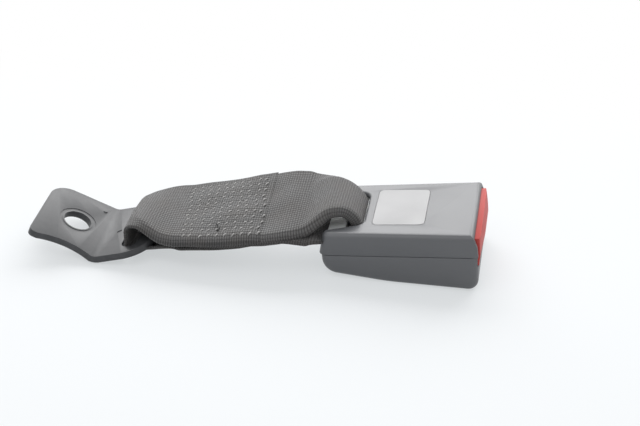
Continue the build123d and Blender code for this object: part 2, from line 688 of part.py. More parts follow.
def make_latch_spring():
    """Torsion spring on the pivot that lifts the latch, its leg on the frame."""
    start = latch_plane(0).offset(LATCH_HALF + LATCH_SPRING_GAP)
    spring = coil(start, LATCH_SPRING_R, LATCH_WIRE, LATCH_SPRING_LENGTH, LATCH_SPRING_TURNS)
    leg_top = (PIVOT_X + LATCH_SPRING_R, BUCKLE.to_local_coords(start.origin).Y, PIVOT_Z)
    with BuildPart() as leg:
        with BuildSketch(level(BASE_TOP_Z + LATCH_WIRE)):
            with Locations(leg_top[:2]):
                Rectangle(LATCH_LEG_T * LATCH_WIRE, LATCH_LEG_T * LATCH_WIRE)
        extrude(amount=PIVOT_Z - BASE_TOP_Z - LATCH_WIRE)
        add(spring.part)
    finish(leg, "latch_spring")
    return leg


# =============================================================== lock
def make_lock_pin():
    """Pin that holds the latch down, guided by the slots in the cheeks."""
    with BuildPart() as pin:
        with BuildSketch(side()):
            with Locations((LOCK_PIN_X, LOCK_PIN_Z)):
                Circle(LOCK_PIN_R)
        extrude(amount=LOCK_PIN_HALF, both=True)
        chamfer(pin.faces().filter_by(GeomType.PLANE).edges(), LOCK_PIN_CHAMFER)
    finish(pin, "lock_pin")
    return pin


def make_lock_slider():
    """Moulded carriage of the lock pin, between the cheeks."""
    arm_out = CHEEK_IN - SLIDE_GAP
    arm_in = LATCH_HALF + 2 * SLIDE_GAP
    slider_rear = LOCK_PIN_X - SLIDER_REACH
    with BuildPart() as slider:
        both_sides(slider_rear, LOCK_PIN_X + SLIDER_HALF, arm_in, arm_out,
                   LOCK_PIN_Z - SLIDER_HALF, LOCK_PIN_Z + SLIDER_HALF)
        slab(slider_rear, slider_rear + SLIDER_BAR, -arm_out, arm_out,
             LOCK_PIN_Z + RUNNING_GAP, LOCK_PIN_Z + SLIDER_HALF)
        with BuildSketch(side()):
            with Locations((LOCK_PIN_X, LOCK_PIN_Z)):
                Circle(LOCK_PIN_R + RUNNING_GAP)
        extrude(amount=FRAME_HALF, both=True, mode=Mode.SUBTRACT)
    finish(slider, "lock_slider")
    return slider


# =============================================================== ejector
def make_ejector():
    """Forked slider that pushes the tongue out, with a spring in each prong."""
    rear = EJECT_BAR_X
    bar_front = rear + EJECT_BAR_LENGTH
    bay_half = EJECT_SPRING_R + SLIDE_GAP
    with BuildPart() as ejector:
        slab(rear, bar_front, -EJECT_HALF, EJECT_HALF, EJECT_Z, EJECT_Z + EJECT_H)
        both_sides(rear, EJECT_FRONT_X, EJECT_PRONG_IN, EJECT_HALF, EJECT_Z, EJECT_Z + EJECT_H)
        both_sides(rear - PAST, EJECT_BAY_FRONT_X, EJECT_SPRING_Y - bay_half,
                   EJECT_SPRING_Y + bay_half, EJECT_Z - PAST,
                   EJECT_Z + EJECT_H - EJECT_ROOF, Mode.SUBTRACT)
    finish(ejector, "ejector")
    return ejector


# =============================================================== button
def make_press_button():
    """Hollow red button with a bulged face and an arm beside each cheek."""
    pressed_rear = BUTTON_REAR_X - BUTTON_TRAVEL
    half = half_width(pressed_rear) - COVER_WALL - SLIDE_GAP
    slot_half = LOCK_PIN_R + SLIDE_GAP
    slot_front = LOCK_PIN_X + LOCK_TRAVEL + BUTTON_TRAVEL + slot_half
    tail = BUTTON_REAR_X - PAST
    with BuildPart() as button:
        with BuildSketch(level(BUTTON_BOTTOM_Z)):
            with BuildLine():
                ThreePointArc((BUTTON_SIDE_X, -half), (BUTTON_BULGE_X, 0), (BUTTON_SIDE_X, half))
                Polyline(
                    (BUTTON_SIDE_X, half), (BUTTON_REAR_X, half), (BUTTON_REAR_X, -half),
                    (BUTTON_SIDE_X, -half),
                )
            make_face()
        extrude(amount=BUTTON_TOP_Z - BUTTON_BOTTOM_Z)
        with BuildSketch(side()) as profile:
            with BuildLine():
                ThreePointArc(
                    (BUTTON_FOOT_X, BUTTON_BOTTOM_Z), BUTTON_HOLLOW,
                    (BUTTON_BULGE_X, BUTTON_NOSE_Z),
                )
                Polyline(
                    (BUTTON_BULGE_X, BUTTON_NOSE_Z), (BUTTON_BROW_X, BUTTON_TOP_Z), (tail, BUTTON_TOP_Z),
                    (tail, BUTTON_BOTTOM_Z), (BUTTON_FOOT_X, BUTTON_BOTTOM_Z),
                )
            make_face()
            nose, brow = profile.vertices().sort_by(Axis.X)[-1], profile.vertices().sort_by(Axis.X)[-2]
            fillet(nose, BUTTON_NOSE_R)
            fillet(brow, BUTTON_EDGE_R)
        extrude(amount=OVERSIZE, both=True, mode=Mode.INTERSECT)
        slab(tail, BUTTON_INNER_X, -half + BUTTON_WALL, half - BUTTON_WALL,
             BUTTON_BOTTOM_Z - PAST, BUTTON_TOP_Z - BUTTON_WALL, Mode.SUBTRACT)
        both_sides(ARM_REAR_X, BUTTON_REAR_X + PAST, ARM_IN, ARM_OUT, ARM_BOTTOM_Z, BUTTON_TOP_Z)
        both_sides(ARM_REAR_X - PAST, slot_front, ARM_IN - PAST, ARM_OUT + PAST,
                   LOCK_PIN_Z - slot_half, LOCK_PIN_Z + slot_half, Mode.SUBTRACT)
    finish(button, "press_button")
    return button


# =============================================================== springs
def make_springs():
    """Compression springs: two at the button, two at the ejector, one at the lock."""
    button_start = GUIDE_REAR_X + GUIDE_WALL
    button_length = BUTTON_INNER_X - button_start - 2 * BUTTON_WIRE
    ejector_length = EJECT_BAY_FRONT_X - EJECT_SPRING_REAR_X - 2 * EJECT_WIRE
    for side_name, sign in (("left", 1), ("right", -1)):
        spring = coil(
            across(button_start + BUTTON_WIRE, sign * BUTTON_SPRING_Y, BUTTON_SPRING_Z),
            BUTTON_SPRING_R - BUTTON_WIRE, BUTTON_WIRE, button_length, BUTTON_SPRING_TURNS,
        )
        finish(spring, f"button_spring_{side_name}")
        spring = coil(
            across(EJECT_SPRING_REAR_X + EJECT_WIRE, sign * EJECT_SPRING_Y,
                   EJECT_Z + EJECT_SPRING_R + EJECT_LIFT),
            EJECT_SPRING_R - EJECT_WIRE, EJECT_WIRE, ejector_length, EJECT_SPRING_TURNS,
        )
        finish(spring, f"ejector_spring_{side_name}")
    lock_length = LOCK_PIN_X - SLIDER_REACH - TAB_FRONT_X - 2 * LOCK_WIRE
    lock_z = LOCK_PIN_Z + SLIDER_HALF / 2
    spring = coil(across(TAB_FRONT_X + LOCK_WIRE, 0, lock_z),
                  LOCK_SPRING_R - LOCK_WIRE, LOCK_WIRE, lock_length, LOCK_SPRING_TURNS)
    finish(spring, "lock_spring")


os.makedirs("parts", exist_ok=True)
make_anchor_plate()
make_webbing_strap()
make_upper_cover()
make_lower_cover()
make_rating_label()
make_base_frame()
make_tongue_guide()
make_latch_plate()
make_latch_pivot_pin()
make_latch_spring()
make_lock_pin()
make_lock_slider()
make_ejector()
make_press_button()
make_springs()
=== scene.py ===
"""Looks of a seat belt buckle on its looped webbing strap with an anchor plate."""

import math

import bmesh
import bpy
import numpy as np
from bpy.props import FloatProperty, FloatVectorProperty, IntProperty, PointerProperty
from mathutils import Matrix, Vector


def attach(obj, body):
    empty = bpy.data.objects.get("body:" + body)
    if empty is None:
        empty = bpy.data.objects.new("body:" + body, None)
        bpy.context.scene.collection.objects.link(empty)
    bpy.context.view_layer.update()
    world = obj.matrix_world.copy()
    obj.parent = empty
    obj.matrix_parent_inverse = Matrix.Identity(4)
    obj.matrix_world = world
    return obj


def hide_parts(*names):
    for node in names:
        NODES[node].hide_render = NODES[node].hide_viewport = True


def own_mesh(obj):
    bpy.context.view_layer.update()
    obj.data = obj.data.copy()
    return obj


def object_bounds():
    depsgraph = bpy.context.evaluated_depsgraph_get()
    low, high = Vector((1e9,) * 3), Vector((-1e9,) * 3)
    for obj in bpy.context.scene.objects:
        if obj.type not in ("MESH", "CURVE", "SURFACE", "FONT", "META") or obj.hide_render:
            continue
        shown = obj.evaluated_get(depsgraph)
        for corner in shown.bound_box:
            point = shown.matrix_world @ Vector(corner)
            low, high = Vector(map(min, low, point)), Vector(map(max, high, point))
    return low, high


bl_info = {
    "name": "Seat belt buckle",
    "version": (1, 0, 0),
    "blender": (4, 5, 0),
    "location": "3D View > Sidebar > Buckle",
    "description": "Webbing, stitching and finishes of a seat belt buckle",
    "category": "Object",
}

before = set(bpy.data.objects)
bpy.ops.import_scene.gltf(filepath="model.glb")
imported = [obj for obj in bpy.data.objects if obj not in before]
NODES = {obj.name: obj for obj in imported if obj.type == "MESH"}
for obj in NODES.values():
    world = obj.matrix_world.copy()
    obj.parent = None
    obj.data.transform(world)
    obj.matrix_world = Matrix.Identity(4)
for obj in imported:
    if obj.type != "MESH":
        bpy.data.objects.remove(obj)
CAD_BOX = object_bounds()
MM = 0.001
FLOOR_Z = CAD_BOX[0][2]
UV_NAME = "Weave"
SEED = 7
WEAVE = "Webbing weave"
GRAIN = "Grain and tint"

# the webbing's form, in millimetres and radians
OUTER_LAYER = 52.0      # run of the outer layer, from the plate's bar to the sewn end
STATION_SEARCH = 30.0   # farthest run from one station to the next
BLEND = 4.0             # run over which widths, rolls and folds blend
ARC_POINTS = 13         # points of each rounded corner
MOST_FOLD = 1.75        # largest turn of a folded edge
FOLD_EASE = 0.7         # how fast an edge folds as the web has less room
LEAST_FOLD = 0.003      # turn below which the edge stays flat
SPARE = 1.0             # web that lies gathered before an edge folds
CROWN = 0.4             # rise of the web's middle
RIPPLES = ((0.25, 0.21, 0.13), (0.2, 0.09, -0.3))   # height, turn along x, turn across
RIPPLE_FROM = (44, 12)  # x where the ripples start, and how far they take to grow
RIPPLE_TO = (100, 10)   # x where they end, and how far they take to fade
WEB_COLUMNS = 56        # faces across one side
EDGE_ROUND = 0.6        # rounding of the selvedge, in thicknesses
THINNEST = 0.15         # share of the thickness left at the sewn end
DIMPLE_SPREAD = 1.6     # square of a dimple's reach
STITCH_SCATTER = 0.25   # spread of a stitch from its place
STITCH_SLANT = -1.5     # lean of a column of stitches at the far edge
THREAD_ALONG, THREAD_ACROSS = 0.6, 0.8      # direction of a stitch on the web
THREAD_POINTS = 7       # points along a stitch
TAIL_SWAY, TAIL_TURN, TAIL_LEAN = 0.9, 3.2, 1.6     # waves of the loose thread
TAIL_THIN = 0.8         # its radius beside a stitch's

# the weave, in metres and powers that flatten a yarn's round top
YARN_ACROSS, YARN_ALONG, RIB = 0.35, 0.6, 1.3
SELVEDGE = (0.0024, 0.0012)     # from the edge inwards, where its ribs start and are full
# painted shade: share by which both edges of the web darken towards the gap colour, over the same
# edge band as the ribs
SELVEDGE_PAINTED_SHADE = 0.6

# broken edges of the hard pieces, in degrees
FLAT_ANGLE, BREAK_ANGLE, SHADE_ANGLE = 0.6, 38, 32

# the stage, in metres
FLOOR_REACH = 6.0
FADE = (-0.02, 0.18)    # y over which the floor turns plain
LAMP_TARGET = (0.09, 0.0, 0.0)
KEY_PLACE, KEY_SIZE = (0.05, 0.75, 0.62), (1.5, 0.9)
FILL_PLACE, FILL_SIZE = (-0.05, -0.45, 0.78), (0.8, 0.4)

# ------------------------------------------------------------------ the strap's run
# Stations of the band, from its hidden inner end round the buckle's bar, back underneath,
# round the plate's bar and forward to the sewn end.  Millimetres and degrees: x and z of
# the middle line, radius of its bend, near and far edge in y, roll (far edge up on top),
# and how far the near and the far edge fold down.
STATIONS = (
    (46.5, 6.1, 0, -19.6, 24.6, 1.4, 0.0, 0.0),
    (60.0, 8.5, 30, -20.2, 26.6, 2.6, 0.3, 0.0),
    (84.0, 13.5, 30, -20.2, 26.8, 7.6, 0.8, 0.0),
    (93.5, 16.1, 25, -19.4, 27.0, 8.0, 2.0, 0.0),
    (102.0, 17.1, 14, -13.5, 26.2, 8.4, 3.6, 0.0),
    (111.0, 21.2, 10, -6.8, 23.2, 1.8, 4.0, 0.8),
    (118.6, 20.6, 10, -5.6, 20.0, -3.0, 3.5, 2.0),
    (123.6, 16.2, 9, -5.2, 19.0, -4.0, 3.5, 2.0),
    (125.3, 11.0, 8, -5.2, 18.4, -1.0, 3.0, 2.0),
    (123.4, 6.4, 5, -5.6, 19.0, 0.0, 3.0, 2.0),
    (112.5, 5.7, 12, -11.0, 23.0, 1.0, 1.5, 1.0),
    (106.0, 9.4, 12, -16.5, 24.5, 3.6, 0.0, 0.0),
    (100.0, 11.2, 16, -18.4, 26.0, 4.6, 0.0, 0.0),
    (94.0, 12.6, 16, -19.6, 26.8, 5.0, 0.0, 0.0),
    (85.0, 10.9, 30, -20.0, 26.8, 5.2, 0.0, 0.0),
    (76.0, 8.6, 30, -20.2, 26.8, 5.6, 0.0, 0.0),
    (59.0, 5.6, 30, -20.2, 26.4, 3.2, 0.0, 0.0),
    (46.9, 2.6, 16, -19.0, 24.0, 1.5, 0.0, 0.0),
    (38.4, -2.1, 12, -15.2, 19.0, 0.0, 0.6, 0.0),
    (25.5, -5.0, 2.2, -13.5, 13.3, 0.0, 0.0, 0.0),
    (25.4, 8.3, 3.6, -14.2, 14.0, -7.5, 0.0, 0.0),
    (31.5, 9.1, 10, -15.2, 20.8, -7.0, 0.5, 0.0),
    (36.0, 8.6, 16, -16.4, 23.2, -3.0, 1.5, 0.0),
    (41.0, 7.9, 20, -18.0, 24.8, 0.8, 2.0, 0.0),
    (46.9, 7.8, 20, -19.6, 26.0, 1.6, 1.4, 0.0),
    (60.0, 10.0, 30, -20.2, 26.8, 2.8, 1.2, 0.0),
    (77.0, 13.2, 30, -20.2, 26.8, 6.3, 1.2, 0.0),
    (84.4, 14.4, 0, -20.2, 26.8, 7.8, 1.0, 0.0),
)


def rounded_line(corners, radii, step):
    """Evenly spaced points of a polyline whose inner corners are arcs."""
    pts = [np.array(corners[0], float)]
    for before, corner, after, radius in zip(corners, corners[1:], corners[2:], radii):
        corner = np.array(corner, float)
        back = np.array(before, float) - corner
        ahead = np.array(after, float) - corner
        room = min(np.linalg.norm(back), np.linalg.norm(ahead)) * 0.49
        back /= np.linalg.norm(back)
        ahead /= np.linalg.norm(ahead)
        half = math.acos(np.clip(back @ ahead, -1, 1)) / 2
        reach = min(radius / math.tan(half), room)
        radius = reach * math.tan(half)
        middle = back + ahead
        if np.linalg.norm(middle) < 1e-6:
            continue
        centre = corner + middle / np.linalg.norm(middle) * radius / math.sin(half)
        first = corner + back * reach - centre
        side = math.copysign(1.0, back[1] * ahead[0] - back[0] * ahead[1])
        for a in np.linspace(0, side * (math.pi - 2 * half), ARC_POINTS):
            pts.append(centre + np.array((
                first[0] * math.cos(a) - first[1] * math.sin(a),
                first[0] * math.sin(a) + first[1] * math.cos(a),
            )))
    pts.append(np.array(corners[-1], float))
    pts = np.array(pts)
    run = np.concatenate(([0], np.cumsum(np.linalg.norm(np.diff(pts, axis=0), axis=1))))
    even = np.linspace(0, run[-1], int(run[-1] / step) + 1)
    return np.stack([np.interp(even, run, pts[:, i]) for i in (0, 1)], 1), even


def smooth(values, reach):
    """Values with short bumps averaged away over reach samples each side."""
    padded = np.pad(values, reach, mode="edge")
    kernel = np.hanning(2 * reach + 3)[1:-1]
    return np.convolve(padded, kernel / kernel.sum(), mode="valid")


def ramp(value):
    """The value, held between 0 and 1."""
    return min(max(value, 0), 1)


def fold(v, half, width, radius):
    """Across and down offsets of a point at v on a half web whose edge is folded down.

    The half web is width wide when flat and takes up half."""
    surplus = max(width - half, 0.0)
    angle = MOST_FOLD * min(surplus / (2 * radius), 1.0) ** FOLD_EASE
    if angle < LEAST_FOLD:
        return v * half / width, 0.0
    level = half - radius * math.sin(angle) - (width - radius * angle) * math.cos(angle)
    level = min(max(level / (1 - math.cos(angle)), 0.0), width - radius * angle)
    if v <= level:
        return v, 0.0
    turn = min((v - level) / radius, angle)
    flap = max(v - level - radius * angle, 0.0)
    return (
        level + radius * math.sin(turn) + flap * math.cos(angle),
        radius * (math.cos(turn) - 1) - flap * math.sin(angle),
    )


class Band:
    """The webbing's middle surface: a place for each run s and across v, in millimetres."""

    def __init__(self, settings):
        self.step = settings.grid / MM
        self.half = settings.width / MM / 2
        self.thickness = settings.thickness / MM
        self.radius = settings.fold_radius / MM
        table = np.array(STATIONS)
        line, self.run = rounded_line(table[:, :2], table[1:-1, 2], self.step)
        tangent = np.gradient(line, axis=0)
        self.tangent = tangent / np.linalg.norm(tangent, axis=1)[:, None]
        self.line = line
        self.length = float(self.run[-1])
        self.outer = int(np.argmax(self.run > self.length - OUTER_LAYER))
        # run of each station: its nearest point after the station before
        marks, start = [0], 0
        for place in table[1:-1, :2]:
            ahead = line[start:start + int(STATION_SEARCH / self.step)]
            start += int(np.argmin(np.linalg.norm(ahead - place, axis=1)))
            marks.append(start)
        marks.append(len(line) - 1)
        count, reach = np.arange(len(line)), int(BLEND / self.step)
        columns = [smooth(np.interp(count, marks, table[:, i]), reach) for i in range(3, 8)]
        self.near, self.far, roll, self.near_flap, self.far_flap = columns
        self.roll = np.radians(roll)

    def outer_station(self, x):
        """Station of the outer layer nearest to x."""
        return self.outer + int(np.argmin(np.abs(self.line[self.outer:, 0] - x)))

    def place(self, i, v):
        """Place of the middle surface at station i and across v."""
        middle = (self.near[i] + self.far[i]) / 2
        half = (self.far[i] - self.near[i]) / 2
        flap = self.near_flap[i] if v < 0 else self.far_flap[i]
        width = half + max(min(flap, self.half - half + SPARE), 0.0)
        across, down = fold(abs(v) * width / self.half, half, width, self.radius)
        across = math.copysign(across, v)
        tx, tz = self.tangent[i]
        nx, nz = -tz, tx
        x, z = self.line[i]
        roll = self.roll[i]
        side = math.copysign(1.0, nz)
        crown = CROWN * side * abs(nz) * max(1 - (across / half) ** 2, 0.0)
        ripple = sum(h * math.sin(x * a + across * b) for h, a, b in RIPPLES)
        ripple *= ramp((x - RIPPLE_FROM[0]) / RIPPLE_FROM[1])
        ripple *= ramp((RIPPLE_TO[0] - x) / RIPPLE_TO[1])
        return np.array((
            x + nx * down,
            middle + across * math.cos(roll) - side * down * math.sin(roll) * abs(nz),
            z + nz * down + across * math.sin(roll) + ripple + crown,
        ))


def grid_normals(points):
    """Unit normals of a grid of points, outwards from the band's loop."""
    along = np.gradient(points, axis=0)
    across = np.gradient(points, axis=1)
    normal = np.cross(along, across)
    return normal / np.linalg.norm(normal, axis=2)[:, :, None]


def linked(name, data):
    """Object of this mesh, lamp or camera, in the scene."""
    piece = bpy.data.objects.new(name, data)
    bpy.context.scene.collection.objects.link(piece)
    return piece


def face_outwards(mesh):
    """Turns every face of a closed mesh outwards."""
    work = bmesh.new()
    work.from_mesh(mesh)
    bmesh.ops.recalc_face_normals(work, faces=work.faces)
    work.to_mesh(mesh)
    work.free()


def new_object(name, verts, faces, smooth_faces=True):
    """Mesh object in the scene from points in metres."""
    mesh = bpy.data.meshes.new(name)
    mesh.from_pydata([tuple(v) for v in verts], [], faces)
    mesh.polygons.foreach_set("use_smooth", [smooth_faces] * len(mesh.polygons))
    mesh.update()
    return linked(name, mesh)


# ------------------------------------------------------------------ materials
def link(tree, source, target):
    """Joins two sockets."""
    tree.links.new(source, target)


def node(tree, kind, **values):
    """Adds a shader node; values name its properties, or its inputs by position as i0, i1."""
    made = tree.nodes.new(kind)
    for key, value in values.items():
        if key[0] == "i" and key[1:].isdigit():
            made.inputs[int(key[1:])].default_value = value
        else:
            setattr(made, key, value)
    return made


def maths(tree, operation, first, second=None):
    """A Math node fed by sockets or numbers; gives its output socket."""
    made = node(tree, "ShaderNodeMath", operation=operation)
    for slot, value in ((0, first), (1, second)):
        if value is None:
            continue
        if isinstance(value, (int, float)):
            made.inputs[slot].default_value = value
        else:
            link(tree, value, made.inputs[slot])
    return made.outputs[0]


def mixed(tree, factor, first, second):
    """A colour Mix node fed by sockets; gives its output socket."""
    made = node(tree, "ShaderNodeMix", data_type="RGBA")
    for slot, socket in ((0, factor), (6, first), (7, second)):
        link(tree, socket, made.inputs[slot])
    return made.outputs[2]


def seen_directly(tree):
    """1 where a camera, glossy or transmission ray meets the surface, else 0."""
    path = node(tree, "ShaderNodeLightPath")
    return maths(tree, "MAXIMUM", path.outputs["Is Camera Ray"],
                 maths(tree, "MAXIMUM", path.outputs["Is Glossy Ray"],
                       path.outputs["Is Transmission Ray"]))


def shader_group(name, inputs, outputs):
    """Empty node group with named sockets, and its input and output nodes."""
    group = bpy.data.node_groups.new(name, "ShaderNodeTree")
    for label, kind, default in inputs:
        socket = group.interface.new_socket(name=label, in_out="INPUT", socket_type=kind)
        if default is not None:
            socket.default_value = default
    for label, kind in outputs:
        group.interface.new_socket(name=label, in_out="OUTPUT", socket_type=kind)
    return group, group.nodes.new("NodeGroupInput"), group.nodes.new("NodeGroupOutput")


def weave_group():
    """Plain weave of thick yarns, with painted shade along both edges: colour and height from flat
    web coordinates.
    """
    group, given, result = shader_group(
        WEAVE,
        (
            ("Along", "NodeSocketFloat", 0.0), ("Across", "NodeSocketFloat", 0.0),
            ("Pitch Along", "NodeSocketFloat", 0.001), ("Pitch Across", "NodeSocketFloat", 0.0014),
            ("Half Width", "NodeSocketFloat", 0.0235),
            ("Yarn", "NodeSocketColor", (0.1, 0.1, 0.1, 1)),
            ("Gap", "NodeSocketColor", (0.02, 0.02, 0.02, 1)),
        ),
        (("Color", "NodeSocketColor"), ("Height", "NodeSocketFloat")),
    )
    rows = maths(group, "DIVIDE", given.outputs["Across"], given.outputs["Pitch Across"])
    cols = maths(group, "DIVIDE", given.outputs["Along"], given.outputs["Pitch Along"])
    across_wave = maths(group, "SINE", maths(group, "MULTIPLY", maths(group, "FRACT", rows), math.pi))
    along_wave = maths(group, "SINE", maths(group, "MULTIPLY", maths(group, "FRACT", cols), math.pi))
    body = maths(group, "MULTIPLY", maths(group, "POWER", across_wave, YARN_ACROSS),
                 maths(group, "POWER", along_wave, YARN_ALONG))
    inside = maths(group, "SUBTRACT", given.outputs["Half Width"],
                   maths(group, "ABSOLUTE", given.outputs["Across"]))
    selvedge = node(group, "ShaderNodeMapRange", interpolation_type="SMOOTHSTEP",
                    i1=SELVEDGE[0], i2=SELVEDGE[1], i3=0.0, i4=1.0)
    link(group, inside, selvedge.inputs[0])
    ribs = maths(group, "POWER", along_wave, RIB)
    height = node(group, "ShaderNodeMix", data_type="FLOAT")
    link(group, selvedge.outputs[0], height.inputs[0])
    link(group, body, height.inputs[2])
    link(group, ribs, height.inputs[3])
    colour = mixed(group, height.outputs[0], given.outputs["Gap"], given.outputs["Yarn"])
    # painted shade: both edges darken towards the gap colour
    painted_edge_shade = maths(group, "MULTIPLY", selvedge.outputs[0], SELVEDGE_PAINTED_SHADE)
    shade = mixed(group, painted_edge_shade, colour, given.outputs["Gap"])
    link(group, shade, result.inputs["Color"])
    link(group, height.outputs[0], result.inputs["Height"])
    return group


def speckle_group():
    """Two scales of noise: a tint over the surface and a fine grain height."""
    group, given, result = shader_group(
        GRAIN,
        (
            ("Color", "NodeSocketColor", (0.1, 0.1, 0.1, 1)),
            ("Tint", "NodeSocketColor", (0.2, 0.2, 0.2, 1)),
            ("Tint Amount", "NodeSocketFloat", 0.3),
            ("Tint Scale", "NodeSocketFloat", 60.0),
            ("Grain Scale", "NodeSocketFloat", 2500.0),
            ("Roughness", "NodeSocketFloat", 0.5),
            ("Roughness Spread", "NodeSocketFloat", 0.1),
        ),
        (("Color", "NodeSocketColor"), ("Height", "NodeSocketFloat"),
         ("Roughness", "NodeSocketFloat")),
    )
    place = node(group, "ShaderNodeTexCoord")
    tint = node(group, "ShaderNodeTexNoise", i3=4.0)
    link(group, place.outputs["Object"], tint.inputs["Vector"])
    link(group, given.outputs["Tint Scale"], tint.inputs["Scale"])
    grain = node(group, "ShaderNodeTexNoise", i3=2.0)
    link(group, place.outputs["Object"], grain.inputs["Vector"])
    link(group, given.outputs["Grain Scale"], grain.inputs["Scale"])
    spread = node(group, "ShaderNodeMapRange", i1=0.35, i2=0.7)
    link(group, tint.outputs[0], spread.inputs[0])
    amount = maths(group, "MULTIPLY", spread.outputs[0], given.outputs["Tint Amount"])
    colour = mixed(group, amount, given.outputs["Color"], given.outputs["Tint"])
    rough = maths(group, "ADD", given.outputs["Roughness"], maths(
        group, "MULTIPLY", maths(group, "SUBTRACT", spread.outputs[0], 0.5),
        given.outputs["Roughness Spread"]))
    link(group, colour, result.inputs["Color"])
    link(group, grain.outputs[0], result.inputs["Height"])
    link(group, rough, result.inputs["Roughness"])
    return group


def placed_group(tree, name):
    """The shared group of this name, built once, as a node of this material."""
    makers = {WEAVE: weave_group, GRAIN: speckle_group}
    group = bpy.data.node_groups.get(name) or makers[name]()
    return node(tree, "ShaderNodeGroup", node_tree=group)


def empty_material(name):
    """Node material with a Principled shader; gives the material, its tree and shader."""
    material = bpy.data.materials.new(name)
    material.use_nodes = True
    tree = material.node_tree
    return material, tree, tree.nodes["Principled BSDF"]


def bumped(tree, height, shader, strength, distance):
    """Feeds a height to the shader's normal."""
    bump = node(tree, "ShaderNodeBump")
    bump.inputs["Strength"].default_value = strength
    bump.inputs["Distance"].default_value = distance
    link(tree, height, bump.inputs["Height"])
    link(tree, bump.outputs[0], shader.inputs["Normal"])


def grained(name, colour, tint, amount, roughness, spread=0.1, tint_scale=60.0,
            grain_scale=2500.0, bump=0.15, depth=0.00005, metallic=0.0, specular=0.5):
    """Solid finish with grain: moulded plastic, coated, plated or ground steel."""
    material, tree, shader = empty_material(name)
    group = placed_group(tree, GRAIN)
    group.inputs["Color"].default_value = (*colour, 1)
    group.inputs["Tint"].default_value = (*tint, 1)
    group.inputs["Tint Amount"].default_value = amount
    group.inputs["Tint Scale"].default_value = tint_scale
    group.inputs["Grain Scale"].default_value = grain_scale
    group.inputs["Roughness"].default_value = roughness
    group.inputs["Roughness Spread"].default_value = spread
    link(tree, group.outputs["Color"], shader.inputs["Base Color"])
    link(tree, group.outputs["Roughness"], shader.inputs["Roughness"])
    shader.inputs["Metallic"].default_value = metallic
    shader.inputs["Specular IOR Level"].default_value = specular
    bumped(tree, group.outputs["Height"], shader, bump, depth)
    return material


def webbing_material(settings):
    """Black polyester webbing with its yarns, ribbed selvedge with painted shade, and faint brown
    cast.
    """
    material, tree, shader = empty_material("Woven webbing")
    flat = node(tree, "ShaderNodeUVMap", uv_map=UV_NAME)
    parts = node(tree, "ShaderNodeSeparateXYZ")
    link(tree, flat.outputs[0], parts.inputs[0])
    weave = placed_group(tree, WEAVE)
    link(tree, parts.outputs[0], weave.inputs["Along"])
    link(tree, parts.outputs[1], weave.inputs["Across"])
    weave.inputs["Pitch Along"].default_value = settings.yarn_along
    weave.inputs["Pitch Across"].default_value = settings.yarn_across
    weave.inputs["Half Width"].default_value = settings.width / 2
    weave.inputs["Yarn"].default_value = (*settings.yarn_colour, 1)
    weave.inputs["Gap"].default_value = (*settings.gap_colour, 1)
    cast = placed_group(tree, GRAIN)
    cast.inputs["Tint"].default_value = (*settings.cast_colour, 1)
    cast.inputs["Tint Amount"].default_value = 0.25
    cast.inputs["Tint Scale"].default_value = 90.0
    cast.inputs["Grain Scale"].default_value = 1400.0
    cast.inputs["Roughness"].default_value = 0.78
    link(tree, weave.outputs["Color"], cast.inputs["Color"])
    link(tree, cast.outputs["Color"], shader.inputs["Base Color"])
    link(tree, cast.outputs["Roughness"], shader.inputs["Roughness"])
    shader.inputs["Sheen Weight"].default_value = 0.25
    shader.inputs["Sheen Roughness"].default_value = 0.5
    shader.inputs["Specular IOR Level"].default_value = 0.3
    height = maths(tree, "ADD", weave.outputs["Height"],
                   maths(tree, "MULTIPLY", cast.outputs["Height"], 0.35))
    bumped(tree, height, shader, settings.yarn_bump, 0.00035)
    return material


# ------------------------------------------------------------------ settings
def colour_property(name, description, default):
    """Linear colour picker."""
    return FloatVectorProperty(name=name, description=description, subtype="COLOR", size=3,
                               min=0.0, max=1.0, default=default)


def length_property(name, description, default):
    """Length in metres."""
    return FloatProperty(name=name, description=description, unit="LENGTH", default=default,
                         precision=5)


class BuckleWebbingSettings(bpy.types.PropertyGroup):
    """Size, yarns and colours of the webbing."""

    width: length_property("Webbing width", "Flat width of the webbing", 0.047)
    thickness: length_property("Webbing thickness", "Thickness of one layer", 0.0013)
    seal: length_property("Sealed end", "Length over which the sewn end thins", 0.007)
    grid: length_property("Grid", "Spacing of the mesh along the band", 0.0009)
    fold_radius: length_property("Fold radius", "Bend of an edge that folds down", 0.0018)
    yarn_along: length_property("Yarn pitch along", "Spacing of yarns along the band", 0.00105)
    yarn_across: length_property("Yarn pitch across", "Spacing of yarns across it", 0.0014)
    yarn_bump: FloatProperty(name="Yarn bump", description="Strength of the yarns' relief",
                             default=1.0, min=0.0, max=2.0)
    yarn_colour: colour_property("Yarn", "Colour of the yarns", (0.145, 0.144, 0.144))
    gap_colour: colour_property("Gap", "Colour between yarns", (0.014, 0.014, 0.015))
    cast_colour: colour_property("Cast", "Faint cast in patches", (0.125, 0.108, 0.096))


class BuckleStitchSettings(bpy.types.PropertyGroup):
    """Block of sewing that holds the lapped layers together."""

    rows: IntProperty(name="Rows", description="Rows of stitches across the webbing",
                      default=11, min=1)
    start_x: length_property("Start", "Where the block starts, along X", 0.0497)
    end_x: length_property("End", "Where the block ends, along X", 0.0826)
    pitch: length_property("Column pitch", "From one column to the next", 0.0036)
    length: length_property("Stitch length", "Length of the thread that shows", 0.0021)
    margin: length_property("Edge margin", "From the webbing's edge to the first row", 0.0046)
    radius: length_property("Thread radius", "Radius of the sewing thread", 0.00036)
    dimple: length_property("Dimple", "How deep the thread pulls the web in", 0.0005)
    colour: colour_property("Thread", "Colour of the thread", (0.31, 0.307, 0.303))
    tail_x: length_property("Tail place", "Where the loose thread lies, along X", 0.0655)
    tail_v: length_property("Tail start", "Where it starts, across the webbing", -0.0165)
    tail_length: length_property("Tail length", "Length of the loose thread", 0.0052)
    tail_colour: colour_property("Tail", "Colour of the loose thread", (0.012, 0.012, 0.012))


